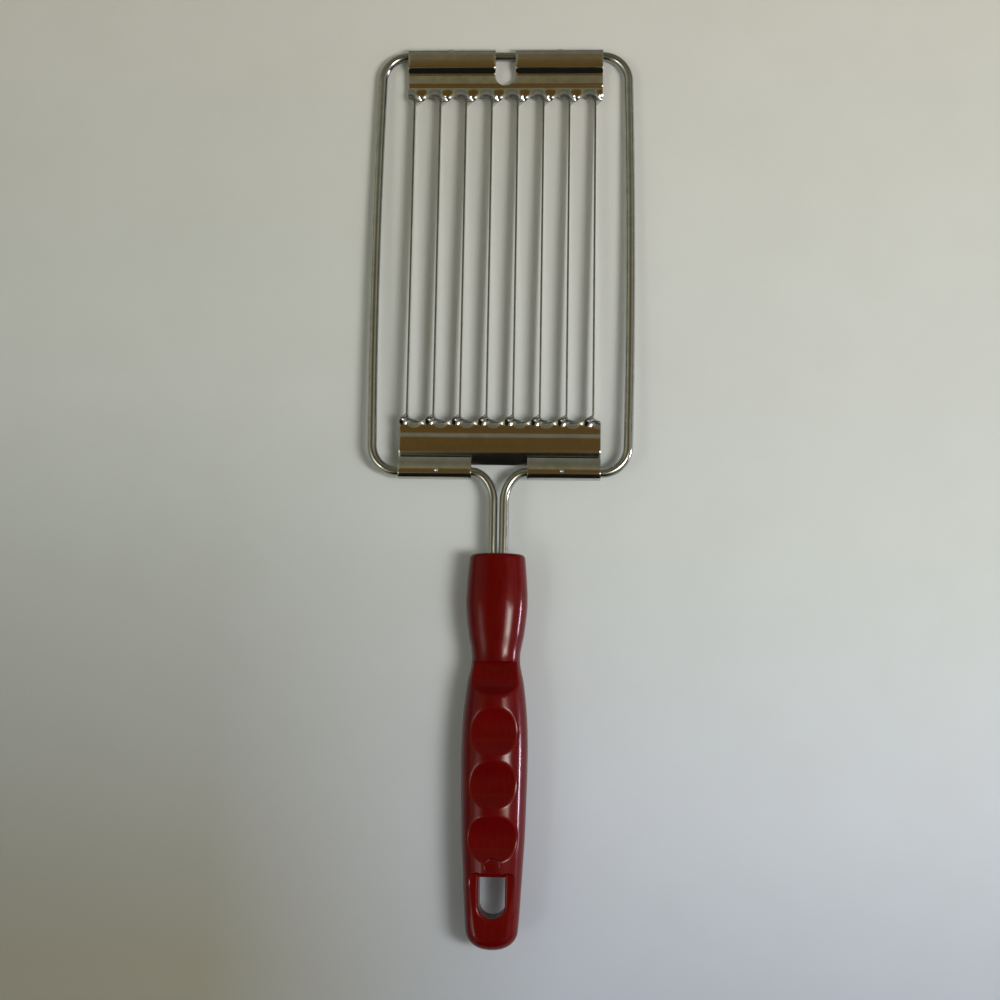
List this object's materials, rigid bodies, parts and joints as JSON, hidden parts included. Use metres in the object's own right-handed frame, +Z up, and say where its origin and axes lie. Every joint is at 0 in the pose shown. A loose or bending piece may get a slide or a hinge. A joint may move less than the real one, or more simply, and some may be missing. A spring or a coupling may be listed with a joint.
{
  "type": "tomato slicer",
  "caption": "Hand-held tomato slicer: upright blades twisted out of sheet steel and hemmed over a bent wire frame, on a moulded grip with finger grooves and a hanging hole.",
  "frame": {"origin": "centre of the footprint, on the table that the slicer lies on", "axes": "+Y along the slicer from the handle to its far end, +X across the blades to the right seen from above with the handle near, +Z up"},
  "size_m": [0.085, 0.2854, 0.0182],
  "materials": {
    "wire_plate": "bright plated wire with fine draw lines",
    "sheet_plate": "bright plated sheet with faint scuffs",
    "red_plastic": "glossy moulded plastic, deep red"
  },
  "bodies": {
    "root": {"wire_frame": "wire_plate", "blade_gang": "sheet_plate", "handle": "red_plastic"}
  },
  "joints": []
}
